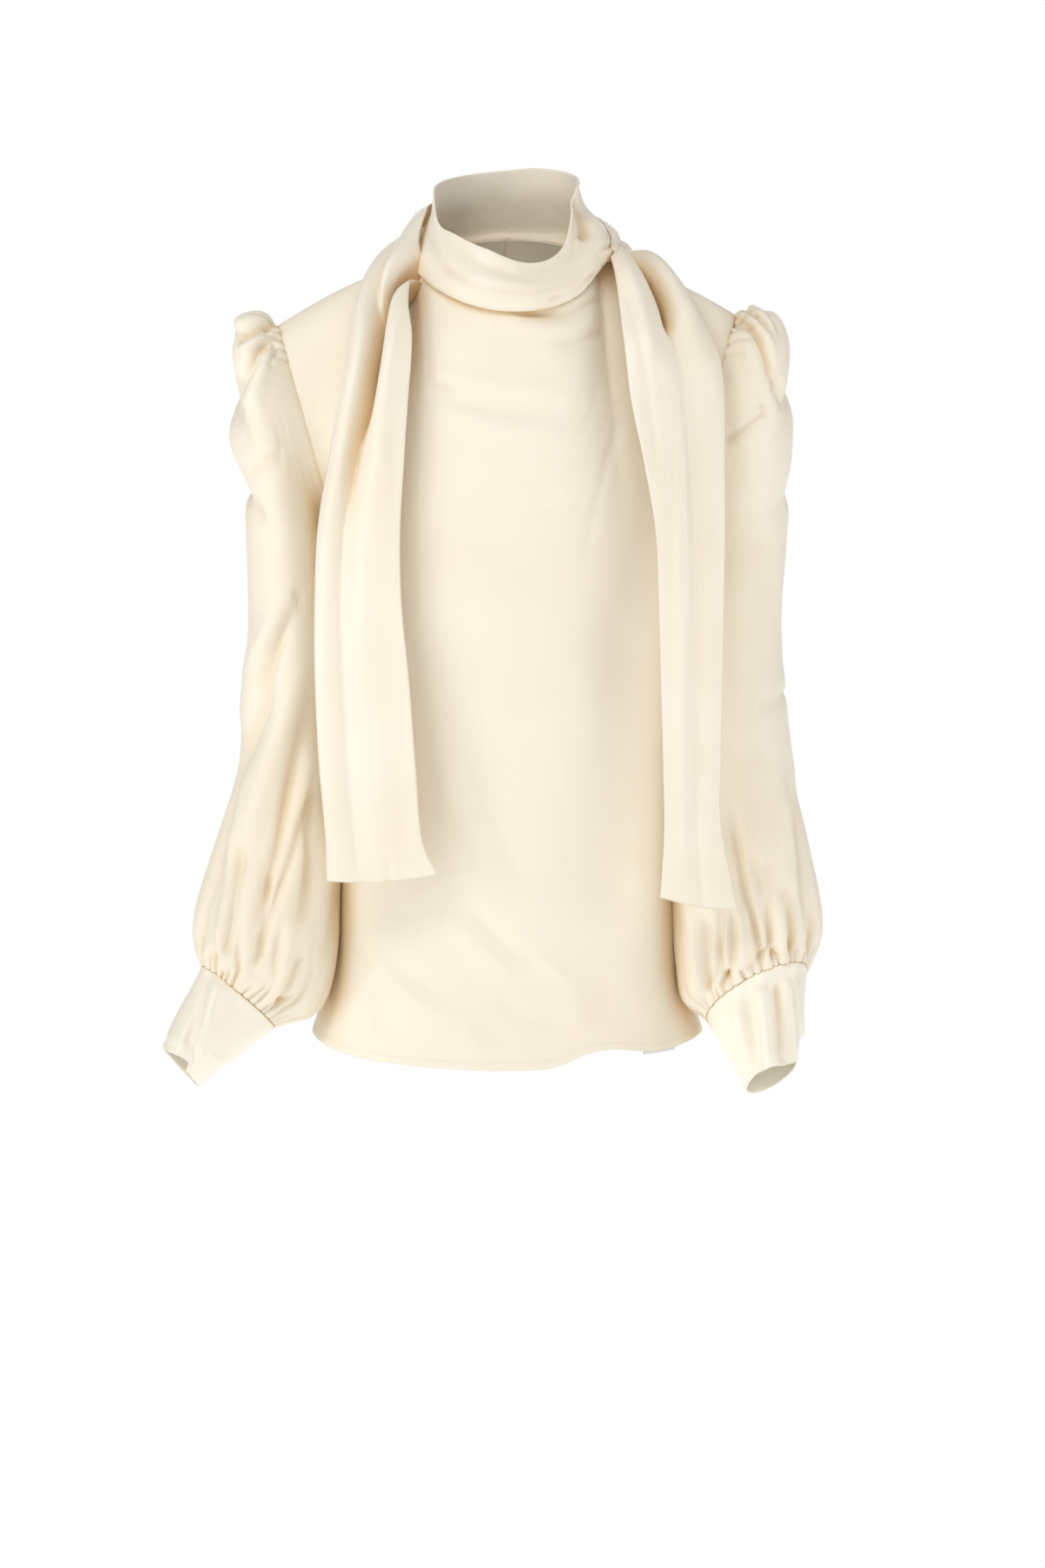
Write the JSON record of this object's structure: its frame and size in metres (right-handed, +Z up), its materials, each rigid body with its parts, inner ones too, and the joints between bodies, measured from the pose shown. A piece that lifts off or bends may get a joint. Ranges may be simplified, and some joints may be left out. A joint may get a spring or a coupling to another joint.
{
  "type": "silk blouse",
  "caption": "Long-sleeved silk blouse, hollow as worn, with a draped neckband, long scarf ends, gathered sleeve heads and deep cuffs.",
  "frame": {"origin": "where the wearer's neck and shoulders hold the blouse: the middle of the neck, level with the tops of the shoulders", "axes": "+Z up, the front of the blouse faces -Y, +X towards the wearer's left"},
  "size_m": [0.5613, 0.2548, 0.7774],
  "materials": {
    "silk": "cream silk crepe with a soft, low sheen",
    "satin": "the same cream silk doubled, with a slightly brighter sheen",
    "label": "plain white woven tape, matt"
  },
  "bodies": {
    "root": {"front": "silk", "back": "silk", "sleeve_right": "silk", "sleeve_left": "silk", "cuff_right": "satin", "cuff_left": "satin", "collar": "satin", "tie_right": "satin", "tie_left": "satin", "label": "label"}
  },
  "joints": []
}
